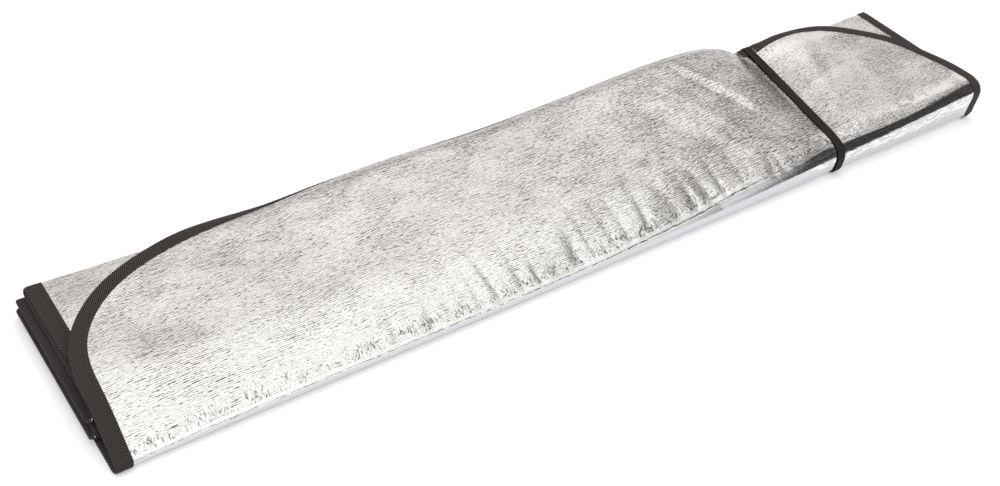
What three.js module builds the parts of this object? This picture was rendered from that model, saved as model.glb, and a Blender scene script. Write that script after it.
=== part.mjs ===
// Windscreen sunshade, folded for storage: one foil-faced foam sheet folded into seven panels, woven tape
// sewn over its whole edge, and an elastic strap round the package.
// Millimetres. X runs along the folds, Y from the front fold to the back folds, Z up.
import * as THREE from 'three';

// Sheet
const LENGTH = 700; // short side of the sheet, along the folds
const WIDTH = 130; // folded package, from the front fold to the back folds
const PANELS = 7; // from the flap on top, under the package and up to the loose end below the flap
const FOAM = 2; // sheet thickness
const FOAM_BOUND = 0.8; // sheet thickness squeezed by the tape's seam
const LEFT_CORNER = [146, 95]; // rounded corner of the flap, along and across the folds
const RIGHT_CORNER = [126, 120];
const LOOSE_CORNERS = [60, 50]; // the two at the sheet's other end, inside the package
const CORNER_POWER = 2.4; // 2 is an ellipse, more is squarer

// Edge tape and strap
const TAPE = 0.4; // tape thickness
const TAPE_COVER = 8.5; // how far the tape reaches in on each face
const SEAM_FADE = 6; // from the tape's edge to the full thickness of the foam
const TAPE_SLOT = 0.55; // between the sheet's faces and the tape round its edge
const CLEARANCE = 0.3; // between two pieces that touch
const STRAP = 1.1; // strap thickness
const STRAP_WIDTH = 8;
const STRAP_LIFT = 0.4; // between the strap and what it lies on
const STRAP_FRONT = 184; // where the strap crosses the front fold, from the middle of the length
const STRAP_BACK = 213; // where it crosses the back folds
const STRAP_BED = 3; // the package is pressed flat this far beside the strap
const STRAP_PRESS = 34; // and comes up again over this length

// Folded shape, as [place along the package from -1 to 1, millimetres] where it changes along the length
const FOLD_HEIGHT = [[-1, 4.4], [-0.85, 6.4], [-0.2, 8], [0.1, 12.5], [0.43, 18.5], [0.7, 23], [1, 30.5]];
const SHOULDER = [[-1, 22.5], [-0.5, 21.5], [0, 22], [0.35, 24], [0.55, 24], [0.75, 27], [1, 31]];
const SHOULDER_RUN = [[-1, 44], [-0.2, 42], [0.2, 32], [0.5, 18], [0.75, 9], [1, 6]];
const BACK_HEIGHT = [[-1, 24], [-0.64, 23], [-0.4, 27.5], [-0.19, 30.5], [0.05, 34.5], [0.3, 42.5], [0.45, 43],
  [0.6, 33], [0.7, 34.5], [0.78, 34.5], [0.9, 32], [1, 32.5]];
const CURL = [[-1, 0], [-0.66, 0], [-0.4, 75], [-0.2, 92], [0.4, 92], [0.56, 60], [0.7, 35], [0.78, 30], [0.93, 5], [1, 0]];
const FRONT_PITCH = [[-1, 3.05], [0.3, 3.2], [0.62, 3.3], [1, 4.7]]; // from one panel of the stack to the next
const BACK_PITCH = [[-1, 3.5], [0, 3.5], [0.6, 3.7], [1, 5.4]]; // the same at the back folds
const FLAP_OVERHANG = [[-1, -2], [-0.5, 1], [0.4, 1], [0.6, -0.5], [1, -2]]; // of the flap's free edge over the package's back
const STACK_FRONT = [[-1, 22], [0, 20], [0.5, 9], [1, 4.5]]; // front fold to the stack's front folds
const STEP_BACK = [[-1, 6], [0, 6], [0.5, 4], [1, 0.5]]; // from its lower front fold to the next
const LOOSE_BACK = [[-1, 6], [0, 7], [0.5, 6], [1, 5]]; // from there to the sheet's loose end
const CURL_RUN = 18; // part of the flap that curls down over the back, in degrees by CURL
const FOLD_ROUND = 9; // largest radius along the top of the front fold
const FOOT_ROUND = 4; // the same along its foot
const BACK_INSET = 2; // the back folds, from the package's back
const SHIFT = [0, -1.2, -3.5, -1, -3, 1.5, 2.5]; // how far each panel lies along X from the flap
const STACK_SPREAD = 0.5; // the stack's back folds step back by this much from layer to layer

// How finely the shape is divided
const FOLD_STEPS = 5;
const TAPE_SHARES = [0, 0.03, 0.12, 0.25, 0.5, 1]; // across the tape
const CORNER_STEPS = 7;
const PANEL_STEPS = 3;
const FLAP_STEPS = 8;

const HALF = LENGTH / 2;
const BOUND_HALF = FOAM_BOUND / 2 + TAPE_SLOT + TAPE; // from the sheet's middle to the tape's outside
const TURN = Math.PI / 2;

const clamp01 = (t) => Math.min(Math.max(t, 0), 1);
const smooth = (t) => clamp01(t) ** 2 * (3 - 2 * clamp01(t));
const mix = (a, b, t) => a + (b - a) * t;

// A smooth curve through [place, value] points
function along(points, place) {
  const last = points.length - 1;
  const at = clamp01((place + 1) / 2) * 2 - 1;
  let k = 0;
  while (k < last - 1 && at > points[k + 1][0]) k += 1;
  const slope = (i, j) => (points[j][1] - points[i][1]) / (points[j][0] - points[i][0]);
  const [[x0, y0], [x1, y1]] = [points[k], points[k + 1]];
  const run = x1 - x0;
  const m0 = slope(Math.max(k - 1, 0), k + 1) * run;
  const m1 = slope(k, Math.min(k + 2, last)) * run;
  const t = (at - x0) / run;
  return y0 + t * m0 + t * t * (3 * (y1 - y0) - 2 * m0 - m1) + t ** 3 * (2 * (y0 - y1) + m0 + m1);
}

const strapPlace = (y) => mix(STRAP_FRONT, STRAP_BACK, clamp01(y / WIDTH + 0.5));

// How strongly the strap presses at a place: 1 under the strap, 0 away from it
function pressed(x, y) {
  const away = Math.abs(x - strapPlace(y)) - STRAP_WIDTH / 2 - STRAP_BED;
  return (1 - clamp01(away / STRAP_PRESS)) ** 2;
}

// The lowest panel's middle: on the floor, lifted by the tape at both ends and by the strap below it
function floorHeight(x) {
  const ends = (BOUND_HALF - FOAM / 2) * smooth((Math.abs(x) - (HALF - 28)) / 8);
  const nearest = WIDTH * (clamp01((x - STRAP_FRONT) / (STRAP_BACK - STRAP_FRONT)) - 0.5);
  return FOAM / 2 + ends + (STRAP + STRAP_LIFT) * pressed(x, nearest);
}

const arc = (y, z, radius, from, to) => (t) => {
  const angle = mix(from, to, t);
  return [y + radius * Math.cos(angle), z + radius * Math.sin(angle)];
};

const FOLD_RUN = 6; // sheet length in one fold of the stack
const FRONT_RUN = 22; // sheet length in the front fold

// Sheet lengths across the folds, from the flap's free edge: [panel, fold, panel, ... panel]
function runs() {
  const list = [WIDTH, FRONT_RUN];
  for (let k = 1; k < PANELS; k += 1) {
    list.push(WIDTH - BACK_INSET - (k > 1 ? along(STACK_FRONT, 0) : 0));
    if (k < PANELS - 1) list.push(FOLD_RUN);
  }
  return list;
}
const RUNS = runs();
const STARTS = RUNS.map((run, i) => RUNS.slice(0, i).reduce((sum, r) => sum + r, 0));
const SPREAD_LENGTH = STARTS.at(-1) + RUNS.at(-1); // the sheet's long side

// The folded line at one place along the package: a list of curves (y, z), one for each panel and fold
function foldedLine(x) {
  const place = x / HALF;
  const low = floorHeight(x);
  const layer = 2 * BOUND_HALF + 0.35; // two bound edges and their clearance
  const [frontPitch, backPitch] = [along(FRONT_PITCH, place), along(BACK_PITCH, place)];
  const [leastFront, leastBack] = [frontPitch, backPitch].map((pitch) => low + (PANELS - 2) * pitch + layer);
  const wall = -WIDTH / 2 + BOUND_HALF;
  const crest = Math.max(along(FOLD_HEIGHT, place), low + layer);
  const front = Math.max(mix(along(SHOULDER, place), leastFront, pressed(x, -WIDTH / 2)), leastFront);
  const drape = along(SHOULDER_RUN, place);
  const foot = Math.min((crest - low) / 2, FOOT_ROUND);
  const radius = Math.min(crest - low - foot, FOLD_ROUND);
  const steep = Math.atan((front - crest) * TURN / drape);
  const start = [wall + radius * (1 - Math.sin(steep)), crest - radius * (1 - Math.cos(steep))];
  const height = (y) => {
    const backwards = smooth((y - start[0]) / WIDTH);
    const free = mix(along(SHOULDER, place), along(BACK_HEIGHT, place), backwards);
    const least = mix(leastFront, leastBack, backwards);
    const rise = Math.max(mix(free, least, pressed(x, y)), least);
    return rise - (front - start[1]) * (1 - Math.sin(TURN * clamp01((y - start[0]) / drape)));
  };
  const curl = THREE.MathUtils.degToRad(Math.max(along(CURL, place) * (1 - pressed(x, WIDTH / 2)), 0.5));
  const bend = CURL_RUN / curl;
  const brink = WIDTH / 2 + along(FLAP_OVERHANG, place) - bend * Math.sin(curl);
  const share = CURL_RUN / WIDTH;
  const flap = (t) => {
    if (t >= share) {
      const y = mix(brink, start[0], (t - share) / (1 - share));
      return [y, height(y)];
    }
    const turned = curl * (1 - t / share);
    return [brink + bend * Math.sin(turned), height(brink) - bend * (1 - Math.cos(turned))];
  };
  const upper = arc(wall + radius, crest - radius, radius, TURN + steep, 2 * TURN);
  const lower = arc(wall + foot, low + foot, foot, 2 * TURN, 3 * TURN);
  const upperRun = radius * (TURN - steep);
  const wallRun = crest - low - radius - foot;
  const wrap = (t) => {
    const run = t * (upperRun + wallRun + foot * TURN);
    if (run < upperRun) return upper(run / upperRun);
    if (run > upperRun + wallRun) return lower((run - upperRun - wallRun) / (foot * TURN));
    return [wall, crest - radius - (run - upperRun)];
  };
  const curves = [flap, wrap];
  const behind = (k) => WIDTH / 2 - BACK_INSET - BOUND_HALF - backPitch / 2 - STACK_SPREAD * k;
  const ahead = (k) => wall + along(STACK_FRONT, place) + k * along(STEP_BACK, place) + frontPitch / 2;
  for (let k = 1; k < PANELS; k += 1) {
    const backwards = k % 2 === 1;
    const loose = k === PANELS - 1;
    const [frontZ, backZ] = [frontPitch, backPitch].map((pitch) => low + (k - 1) * pitch);
    const [fromY, toY] = backwards
      ? [k === 1 ? wall + foot : ahead((k >> 1) - 1), behind(k >> 1)]
      : [behind((k >> 1) - 1), ahead((k >> 1) - 1) + (loose ? along(LOOSE_BACK, place) : 0)];
    const [fromZ, toZ] = backwards ? [frontZ, backZ] : [backZ, frontZ];
    curves.push((t) => [mix(fromY, toY, t), mix(fromZ, toZ, t)]);
    const round = (backwards ? backPitch : frontPitch) / 2;
    if (!loose) curves.push(arc(toY, toZ + round, round, -TURN, backwards ? TURN : -3 * TURN));
  }
  return curves;
}

// A point of the sheet: across from the flap's free edge, v along the folds, out from the sheet's middle
function folded(u, v, out) {
  let k = STARTS.length - 1;
  while (k > 0 && u < STARTS[k]) k -= 1;
  const t = (u - STARTS[k]) / RUNS[k];
  const panel = Math.min(k >> 1, SHIFT.length - 1);
  const next = Math.min(panel + (k & 1), SHIFT.length - 1);
  const x = v + mix(SHIFT[panel], SHIFT[next], k & 1 ? t : 0);
  const curve = foldedLine(x)[k];
  const step = 1e-4;
  const [y0, z0] = curve(t - (t > 0.5 ? step : 0));
  const [y1, z1] = curve(t + (t > 0.5 ? 0 : step));
  const size = Math.hypot(y1 - y0, z1 - z0);
  const [y, z] = curve(t);
  return [x, y + out * (z1 - z0) / size, z - out * (y1 - y0) / size];
}

// The two ends of the sheet's cut, along the folds, at a place across them
function ends(u) {
  const reach = ([run, depth], across) => {
    const t = clamp01(1 - across / depth);
    return HALF - run + run * (1 - t ** CORNER_POWER) ** (1 / CORNER_POWER);
  };
  const loose = reach(LOOSE_CORNERS, SPREAD_LENGTH - u);
  return [-Math.min(reach(LEFT_CORNER, u), loose), Math.min(reach(RIGHT_CORNER, u), loose)];
}

// Where the sheet is divided across the folds
function columns() {
  const list = [];
  RUNS.forEach((run, k) => {
    const fold = k % 2 === 1;
    const steps = fold ? (k === 1 ? 2 * FOLD_STEPS : FOLD_STEPS) : (k === 0 ? FLAP_STEPS : PANEL_STEPS);
    for (let i = 0; i < steps; i += 1) list.push(STARTS[k] + run * i / steps);
  });
  const corner = (depth) => {
    const taken = TAPE_SHARES.map((share) => share * TAPE_COVER);
    for (let i = 1; i < CORNER_STEPS; i += 1) taken.push(mix(TAPE_COVER, depth, (i / CORNER_STEPS) ** 1.4));
    return taken;
  };
  const [near, far] = [corner(RIGHT_CORNER[1]), corner(LOOSE_CORNERS[1])];
  const middle = list.filter((u) => u > near.at(-1) + 8 && u < SPREAD_LENGTH - far.at(-1) - 8);
  return [...near, ...middle, ...far.map((u) => SPREAD_LENGTH - u).reverse()];
}

// Where it is divided along the folds: closer together near the strap, and in line with it
const REACH = HALF - TAPE_COVER - SEAM_FADE;
const LEFT_ROWS = [40, 90, 140, 180, 225, 280, REACH];
const BED = STRAP_WIDTH / 2 + STRAP_BED;
const NEAR_STRAP = [-36, -27, -19, -13, -BED, 0, BED, 18, 32];
function rightRows(u) {
  const bound = TAPE_COVER + SEAM_FADE;
  const y = u < STARTS[1] ? WIDTH * (0.5 - Math.max(u - bound, 0) / (WIDTH - bound)) : u - STARTS[2] - WIDTH / 2;
  return [10, 60, 112, 156, ...NEAR_STRAP.map((away) => strapPlace(y) + away), 262, 292, REACH];
}
function rows(u) {
  const side = (half, corner, list) => {
    const kept = HALF - corner[0] - 3; // rows up to here keep their place in every cut
    const reach = Math.max(half - TAPE_COVER - SEAM_FADE, mix(kept, half, 0.3));
    const free = list.filter((row) => row > kept).length;
    const share = (i) => clamp01((i + 1 + free - list.length) / free);
    const placed = list.map((row, i) => Math.min(row, mix(kept, reach, share(i))));
    return [...placed, mix(reach, half, 0.4), half];
  };
  const [left, right] = ends(u);
  return [...side(-left, LEFT_CORNER, LEFT_ROWS).map((v) => -v).reverse(), ...side(right, RIGHT_CORNER, rightRows(u))];
}

const COLUMNS = columns();

// The cut's outline, once round, as [u, v]
function outline() {
  const [left, right] = [0, 1].map((side) => COLUMNS.map((u) => [u, ends(u)[side]]));
  const [flapEnd, looseEnd] = [0, SPREAD_LENGTH].map((u) => rows(u).slice(1, -1).map((v) => [u, v]));
  return [...right, ...looseEnd.reverse(), ...left.reverse(), ...flapEnd];
}
const OUTLINE = outline();

function solid(name, positions, triangles, look) {
  const geometry = new THREE.BufferGeometry();
  geometry.setAttribute('position', new THREE.Float32BufferAttribute(positions.flat(), 3));
  geometry.setIndex(triangles.flat());
  geometry.computeVertexNormals();
  const mesh = new THREE.Mesh(geometry, new THREE.MeshStandardMaterial(look));
  mesh.name = name;
  return mesh;
}

// Foil-faced foam sheet: both faces of the grid, closed round its edge
function foilSheet() {
  const toEdge = (u, v) => Math.min(...OUTLINE.map(([a, b], i) => {
    const [du, dv] = [OUTLINE.at(i - 1)[0] - a, OUTLINE.at(i - 1)[1] - b];
    const t = clamp01(((u - a) * du + (v - b) * dv) / (du * du + dv * dv));
    return Math.hypot(a + t * du - u, b + t * dv - v);
  }));
  const points = [];
  const grid = COLUMNS.map((u) => rows(u).map((v) => {
    const seam = smooth((toEdge(u, v) - TAPE_COVER) / SEAM_FADE);
    const half = mix(FOAM_BOUND, FOAM, seam) / 2;
    points.push(folded(u, v, half), folded(u, v, -half));
    return points.length - 2;
  }));
  const triangles = [];
  const quad = (a, b, c, d) => triangles.push([a, b, c], [a, c, d]);
  const across = grid.length - 1;
  const longways = grid[0].length - 1;
  for (let i = 0; i < across; i += 1) {
    for (let j = 0; j < longways; j += 1) {
      const [a, b, c, d] = [grid[i][j], grid[i][j + 1], grid[i + 1][j + 1], grid[i + 1][j]];
      quad(a, d, c, b);
      quad(a + 1, b + 1, c + 1, d + 1);
    }
  }
  const edge = (a, b) => quad(b, a, a + 1, b + 1);
  for (let i = 0; i < across; i += 1) {
    edge(grid[i][0], grid[i + 1][0]);
    edge(grid[i + 1][longways], grid[i][longways]);
  }
  for (let j = 0; j < longways; j += 1) {
    edge(grid[0][j + 1], grid[0][j]);
    edge(grid[across][j], grid[across][j + 1]);
  }
  return solid('foil_sheet', points, triangles, { color: '#c9c7c6', metalness: 0.9, roughness: 0.35 });
}

// Edge tape: a folded strip with a U section, swept once round the sheet's outline
function edgeTape() {
  const inner = BOUND_HALF - TAPE;
  const brink = -CLEARANCE - TAPE;
  const half = TAPE_COVER / 2;
  const section = [[TAPE_COVER, BOUND_HALF], [half, BOUND_HALF], [0.2, BOUND_HALF], [brink, 0.6], [brink, -0.6],
    [0.2, -BOUND_HALF], [half, -BOUND_HALF], [TAPE_COVER, -BOUND_HALF], [TAPE_COVER, -inner], [half, -inner],
    [-CLEARANCE, -inner], [-CLEARANCE, inner], [half, inner], [TAPE_COVER, inner]];
  const points = [];
  const count = OUTLINE.length;
  OUTLINE.forEach(([u, v], i) => {
    const [u0, v0] = OUTLINE[(i + count - 1) % count];
    const [u1, v1] = OUTLINE[(i + 1) % count];
    const size = Math.hypot(u1 - u0, v1 - v0);
    const [inU, inV] = [(v1 - v0) / size, -(u1 - u0) / size];
    section.forEach(([inwards, out]) => points.push(folded(u + inU * inwards, v + inV * inwards, out)));
  });
  return solid('edge_tape', points, sweep(count, section.length), { color: '#2f2b2a', metalness: 0, roughness: 0.9 });
}

// Triangles of a closed section swept round a closed path
function sweep(stations, sides) {
  const triangles = [];
  for (let i = 0; i < stations; i += 1) {
    const [near, far] = [i * sides, ((i + 1) % stations) * sides];
    for (let j = 0; j < sides; j += 1) {
      const k = (j + 1) % sides;
      triangles.push([near + j, far + k, near + k], [near + j, far + j, far + k]);
    }
  }
  return triangles;
}

// Elastic strap: a flat ring that lies on the flap, the front fold, the lowest panel and the back folds
function elasticStrap() {
  const over = BOUND_HALF + 2 * STRAP_LIFT;
  const foam = FOAM / 2 + STRAP_LIFT;
  const fall = WIDTH / 2 + CLEARANCE;
  const corner = 2.5;
  const lay = COLUMNS.filter((u) => u > 0 && u < STARTS[3]);
  const edges = [-1, 1].map((side) => {
    const ring = lay.map((u) => {
      const lift = mix(over, foam, smooth((u - 2 * TAPE_COVER) / SEAM_FADE));
      const [, guess] = folded(u, u < STARTS[1] ? strapPlace(WIDTH / 2 - u) : STRAP_FRONT, 0);
      const x = strapPlace(guess) + side * STRAP_WIDTH / 2;
      return [lift, lift + STRAP].map((out) => folded(u, x - (u > STARTS[2] ? SHIFT[1] : 0), out));
    });
    const x = STRAP_BACK + side * STRAP_WIDTH / 2;
    const [, , z0] = ring.at(-1)[0];
    const [, y1, z1] = ring[0][0];
    const wall = Math.max(fall, y1 + TAPE + 3 * CLEARANCE);
    const path = [[wall - corner, z0, 0, -1], [wall - 0.5, z0 + corner * 0.4, 0.7, -0.7], [wall, z0 + corner + 1, 1, 0],
      [wall, mix(z0, z1, 0.5), 1, 0], [wall, z1 - 0.9, 1, 0.2], [wall - 0.5, z1 - 0.1, 0.7, 0.7]];
    const back = path.map(([y, z, ny, nz]) => [[x, y, z], [x, y + ny * STRAP, z + nz * STRAP]]);
    return [...ring, ...back];
  });
  const points = edges[0].flatMap((near, i) => [near[0], near[1], edges[1][i][1], edges[1][i][0]]);
  return solid('elastic_strap', points, sweep(edges[0].length, 4), { color: '#262322', metalness: 0, roughness: 0.85 });
}

// The package stands with the middle of its box over the origin
const sunshade = new THREE.Group();
sunshade.name = 'windscreen_sunshade';
sunshade.add(foilSheet(), edgeTape(), elasticStrap());
const box = new THREE.Box3().setFromObject(sunshade);
const middle = box.getCenter(new THREE.Vector3());
sunshade.position.set(-middle.x, -middle.y, -box.min.z);

export default sunshade;
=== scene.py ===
"""Windscreen sunshade, folded for storage: the looks of its sheet, tape, stitches and strap.

Lengths in this file are millimetres until a mesh is made, which is in metres.
"""

import math

import bpy
import numpy as np
from bpy.props import FloatProperty, FloatVectorProperty, PointerProperty
from mathutils import Euler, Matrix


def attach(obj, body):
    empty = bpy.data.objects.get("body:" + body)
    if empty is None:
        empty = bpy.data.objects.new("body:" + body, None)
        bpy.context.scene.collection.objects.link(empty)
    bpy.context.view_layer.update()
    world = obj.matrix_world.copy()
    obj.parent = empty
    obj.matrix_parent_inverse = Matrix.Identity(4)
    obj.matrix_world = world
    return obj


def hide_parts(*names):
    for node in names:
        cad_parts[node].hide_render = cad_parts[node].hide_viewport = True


bl_info = {
    "name": "Folded sunshade",
    "version": (1, 0, 0),
    "blender": (4, 5, 0),
    "location": "View3D > Sidebar > Sunshade",
    "description": "Dresses the folded sunshade: foil sheet, edge tape, stitches and elastic strap",
    "category": "Object",
}

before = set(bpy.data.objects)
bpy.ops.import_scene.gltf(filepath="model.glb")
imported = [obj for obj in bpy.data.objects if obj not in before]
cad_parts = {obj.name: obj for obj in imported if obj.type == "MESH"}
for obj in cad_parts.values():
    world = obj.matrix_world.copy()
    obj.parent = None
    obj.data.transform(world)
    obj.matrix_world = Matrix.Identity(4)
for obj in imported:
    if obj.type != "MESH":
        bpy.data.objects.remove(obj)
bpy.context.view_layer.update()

MM = 0.001

# Sheet and package, as in the part's source
LENGTH = 700
WIDTH = 130
PANELS = 7
FOAM = 2
LEFT_CORNER = (146, 95)
RIGHT_CORNER = (126, 120)
LOOSE_CORNERS = (60, 50)
CORNER_POWER = 2.4
BOUND_HALF = 1.35
HALF = LENGTH / 2
TURN = math.pi / 2
PLACE = np.array([0.5, -0.8, 0.0])  # the part's shift to the middle of its box

# Strap
STRAP_LIFT = 0.4
STRAP_FRONT = 184
STRAP_BACK = 213
STRAP_BED = 3
STRAP_PRESS = 34

# Folded shape, as (place along the package from -1 to 1, millimetres), or degrees for the curl of the flap's edge
FOLD_HEIGHT = ((-1, 4.4), (-0.85, 6.4), (-0.2, 8), (0.1, 12.5), (0.43, 18.5), (0.7, 23), (1, 30.5))
SHOULDER = ((-1, 22.5), (-0.5, 21.5), (0, 22), (0.35, 24), (0.55, 24), (0.75, 27), (1, 31))
SHOULDER_RUN = ((-1, 44), (-0.2, 42), (0.2, 32), (0.5, 18), (0.75, 9), (1, 6))
BACK_HEIGHT = ((-1, 24), (-0.7, 23.6), (-0.6, 25.2), (-0.5, 27.4), (-0.4, 28.3), (-0.19, 30.5), (0.05, 34.5),
               (0.3, 42.5), (0.45, 43), (0.6, 33), (0.7, 34.5), (0.78, 34.5), (0.9, 32), (1, 32.5))
CURL = ((-1, 0), (-0.78, 0), (-0.68, 24), (-0.6, 50), (-0.5, 84), (-0.4, 92), (-0.2, 94), (0.4, 92),
        (0.56, 60), (0.7, 35), (0.78, 30), (0.93, 5), (1, 0))
FRONT_PITCH = ((-1, 3.05), (0.3, 3.2), (0.62, 3.3), (1, 4.7))
BACK_PITCH = ((-1, 3.5), (0, 3.5), (0.6, 3.7), (1, 5.4))
FLAP_OVERHANG = ((-1, -2), (-0.5, 1), (0.4, 1), (0.6, -0.5), (1, -2))
STACK_FRONT = ((-1, 22), (0, 20), (0.5, 9), (1, 4.5))
STEP_BACK = ((-1, 6), (0, 6), (0.5, 4), (1, 0.5))
LOOSE_BACK = ((-1, 6), (0, 7), (0.5, 6), (1, 5))
CURL_RUN = 18
FOLD_ROUND = 9
FOOT_ROUND = 4
BACK_INSET = 2
SHIFT = (0, -1.2, -3.5, -1, -3, 1.5, 2.5)
STACK_SPREAD = 0.5
FOLD_RUN = 6
FRONT_RUN = 22
LAYER = 2 * BOUND_HALF + 0.35
END_REACH = 28  # the bound ends lift the sheet from here on
END_RUN = 8


def mix(a, b, t):
    return a + (b - a) * t


def smooth(t):
    t = np.clip(t, 0, 1)
    return t * t * (3 - 2 * t)


def along(points, place):
    """A smooth curve through (place, value) points, read at many places at once."""
    xs, ys = np.array(points, float).T
    at = np.clip(place, -1, 1)
    last = len(xs) - 1
    k = np.searchsorted(xs[1:-1], at, side="left")
    before, after = np.maximum(k - 1, 0), np.minimum(k + 2, last)
    run = xs[k + 1] - xs[k]
    m0 = (ys[k + 1] - ys[before]) / (xs[k + 1] - xs[before]) * run
    m1 = (ys[after] - ys[k]) / (xs[after] - xs[k]) * run
    t = (at - xs[k]) / run
    y0, y1 = ys[k], ys[k + 1]
    return y0 + t * m0 + t * t * (3 * (y1 - y0) - 2 * m0 - m1) + t**3 * (2 * (y0 - y1) + m0 + m1)


def strap_place(y):
    return mix(STRAP_FRONT, STRAP_BACK, np.clip(y / WIDTH + 0.5, 0, 1))


def pressed(x, y, strap_width):
    away = np.abs(x - strap_place(y)) - strap_width / 2 - STRAP_BED
    return (1 - np.clip(away / STRAP_PRESS, 0, 1)) ** 2


def sheet_runs():
    """Sheet lengths across the folds: panel, fold, panel, and so on."""
    runs = [WIDTH, FRONT_RUN]
    for k in range(1, PANELS):
        runs.append(WIDTH - BACK_INSET - (float(along(STACK_FRONT, 0)) if k > 1 else 0))
        if k < PANELS - 1:
            runs.append(FOLD_RUN)
    return np.array(runs)


RUNS = sheet_runs()
STARTS = np.concatenate([[0], np.cumsum(RUNS)[:-1]])
SPREAD_LENGTH = float(RUNS.sum())


class Fold:
    """The folded line across the package at places x, and points of the sheet folded along it."""

    def __init__(self, x, settings):
        self.x = x
        width = settings.strap.width / MM
        thickness = settings.strap.thickness / MM
        place = x / HALF
        self.place = place
        self.strap_width = width
        ends = (BOUND_HALF - FOAM / 2) * smooth((np.abs(x) - (HALF - END_REACH)) / END_RUN)
        nearest = WIDTH * (np.clip((x - STRAP_FRONT) / (STRAP_BACK - STRAP_FRONT), 0, 1) - 0.5)
        self.low = FOAM / 2 + ends + (thickness + STRAP_LIFT) * pressed(x, nearest, width)
        self.front_pitch, self.back_pitch = along(FRONT_PITCH, place), along(BACK_PITCH, place)
        self.least = [self.low + (PANELS - 2) * pitch + LAYER for pitch in (self.front_pitch, self.back_pitch)]
        self.wall = -WIDTH / 2 + BOUND_HALF
        self.crest = np.maximum(along(FOLD_HEIGHT, place), self.low + LAYER)
        self.free = along(SHOULDER, place), along(BACK_HEIGHT, place)
        press = pressed(x, -WIDTH / 2, width)
        self.front = np.maximum(mix(self.free[0], self.least[0], press), self.least[0])
        self.drape = along(SHOULDER_RUN, place)
        self.foot = np.minimum((self.crest - self.low) / 2, FOOT_ROUND)
        self.radius = np.minimum(self.crest - self.low - self.foot, FOLD_ROUND)
        self.steep = np.arctan((self.front - self.crest) * TURN / self.drape)
        self.start_y = self.wall + self.radius * (1 - np.sin(self.steep))
        self.start_z = self.crest - self.radius * (1 - np.cos(self.steep))
        self.curl = np.radians(np.maximum(along(CURL, place) * (1 - pressed(x, WIDTH / 2, width)), 0.5))
        self.bend = CURL_RUN / self.curl
        self.brink = WIDTH / 2 + along(FLAP_OVERHANG, place) - self.bend * np.sin(self.curl)

    def flap_height(self, y):
        backwards = smooth((y - self.start_y) / WIDTH)
        least = mix(*self.least, backwards)
        rise = np.maximum(mix(mix(*self.free, backwards), least, pressed(self.x, y, self.strap_width)), least)
        sink = 1 - np.sin(TURN * np.clip((y - self.start_y) / self.drape, 0, 1))
        return rise - (self.front - self.start_z) * sink

    def flap(self, t):
        share = CURL_RUN / WIDTH
        y = mix(self.brink, self.start_y, np.maximum(t - share, 0) / (1 - share))
        turned = self.curl * np.clip(1 - t / share, 0, 1)
        return y + self.bend * np.sin(turned), self.flap_height(y) - self.bend * (1 - np.cos(turned))

    def wrap(self, t):
        r, f = self.radius, self.foot
        upper = r * (TURN - self.steep)
        wall = self.crest - self.low - r - f
        run = t * (upper + wall + f * TURN)
        turned = TURN + self.steep + np.clip(run / upper, 0, 1) * (TURN - self.steep)
        foot = 2 * TURN + np.clip((run - upper - wall) / (f * TURN), 0, 1) * TURN
        down = np.clip(run - upper, 0, wall)
        y = self.wall + np.where(run < upper, r + r * np.cos(turned), f + f * np.cos(foot))
        z = np.where(run < upper, self.crest - r + r * np.sin(turned), self.low + f + f * np.sin(foot))
        middle = (run >= upper) & (run <= upper + wall)
        return np.where(middle, self.wall, y), np.where(middle, self.crest - r - down, z)

    def stack(self, part, t):
        """The panels under the flap, and the folds between them."""
        k = part // 2
        backwards = k % 2 == 1
        behind = lambda n: WIDTH / 2 - BACK_INSET - BOUND_HALF - self.back_pitch / 2 - STACK_SPREAD * n
        ahead = lambda n: (self.wall + along(STACK_FRONT, self.place) + n * along(STEP_BACK, self.place)
                           + self.front_pitch / 2)
        heights = [self.low + (k - 1) * pitch for pitch in (self.front_pitch, self.back_pitch)]
        if backwards:
            from_y = self.wall + self.foot if k == 1 else ahead(k // 2 - 1)
            to_y = behind(k // 2)
            from_z, to_z = heights
        else:
            from_y = behind(k // 2 - 1)
            to_y = ahead(k // 2 - 1) + (along(LOOSE_BACK, self.place) if k == PANELS - 1 else 0)
            to_z, from_z = heights
        if part % 2 == 0:
            return mix(from_y, to_y, t), mix(from_z, to_z, t)
        radius = (self.back_pitch if backwards else self.front_pitch) / 2
        angle = mix(-TURN, TURN if backwards else -3 * TURN, t)
        return to_y + radius * np.cos(angle), to_z + radius * (1 + np.sin(angle))

    def line(self, part, t):
        if part == 0:
            return self.flap(t)
        if part == 1:
            return self.wrap(t)
        return self.stack(part, t)


def folded(u, v, out, settings):
    """Points of the sheet in metres: u across from the flap's free edge, v along, out from its middle.

    Past the free edge, where the tape wraps it, the sheet's line runs on straight.
    """
    u, v, out = np.broadcast_arrays(*(np.asarray(a, float) for a in (u, v, out)))
    points = np.empty(u.shape + (3,))
    parts = np.clip(np.searchsorted(STARTS, u, side="right") - 1, 0, len(RUNS) - 1)
    for part in np.unique(parts):
        here = parts == part
        beyond = np.minimum(u[here], 0)
        t = (u[here] - beyond - STARTS[part]) / RUNS[part]
        panel = min(part // 2, len(SHIFT) - 1)
        following = min(panel + part % 2, len(SHIFT) - 1)
        x = v[here] + mix(SHIFT[panel], SHIFT[following], t if part % 2 else 0)
        fold = Fold(x, settings)
        step = 1e-4  # share of a part, for its direction
        ahead = np.where(t > 0.5, 0, step)
        y0, z0 = fold.line(part, t + ahead - step)
        y1, z1 = fold.line(part, t + ahead)
        y, z = fold.line(part, t)
        size = np.hypot(y1 - y0, z1 - z0)
        on_y, on_z = (y1 - y0) / size, (z1 - z0) / size
        y, z = y + beyond * on_y + out[here] * on_z, z + beyond * on_z - out[here] * on_y
        points[here] = np.stack([x, y, z], axis=-1)
    return (points + PLACE) * MM


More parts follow.
